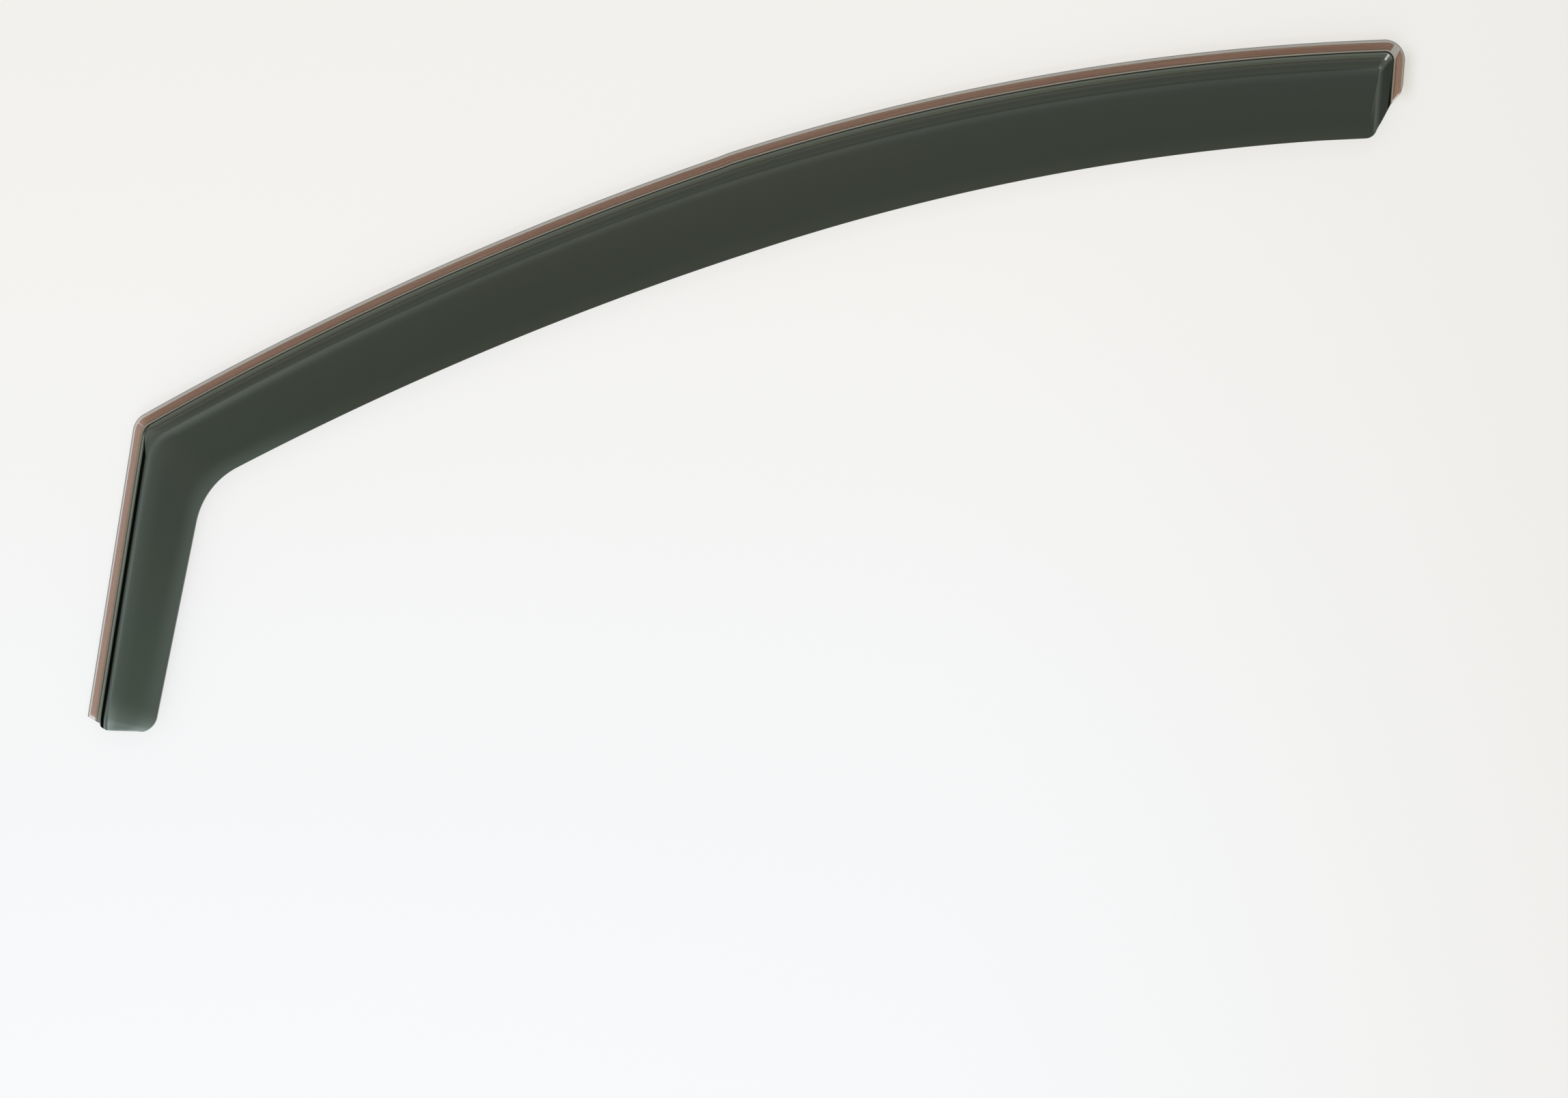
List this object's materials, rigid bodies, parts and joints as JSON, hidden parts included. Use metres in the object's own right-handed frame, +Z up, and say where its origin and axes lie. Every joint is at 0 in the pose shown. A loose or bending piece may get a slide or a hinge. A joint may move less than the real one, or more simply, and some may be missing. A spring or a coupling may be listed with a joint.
{
  "type": "window rain deflector",
  "caption": "Smoke-tinted acrylic rain deflector for a front car door window: a long arched visor with a short angled leg, stuck on by tape under its outer flange.",
  "frame": {"origin": "under the middle of the outline, on the surface the piece lies on", "axes": "+X along the long arc from the leg to the closed end, +Y towards the taped outer edge of the arc, +Z up, away from the tape"},
  "size_m": [0.9006, 0.2236, 0.017],
  "materials": {
    "smoke_acrylic": "polished transparent smoke-green acrylic, dark where the sheet is seen at a slant or over shade, pale along the flange",
    "foam_tape": "matte grey acrylic foam, 1.2 mm thick",
    "release_liner": "thin brick-red film with a soft sheen"
  },
  "bodies": {
    "root": {"visor_shell": "smoke_acrylic", "leg_tape": "foam_tape", "arc_tape": "foam_tape", "end_tape": "foam_tape", "leg_liner": "release_liner", "arc_liner": "release_liner", "end_liner": "release_liner"}
  },
  "joints": []
}
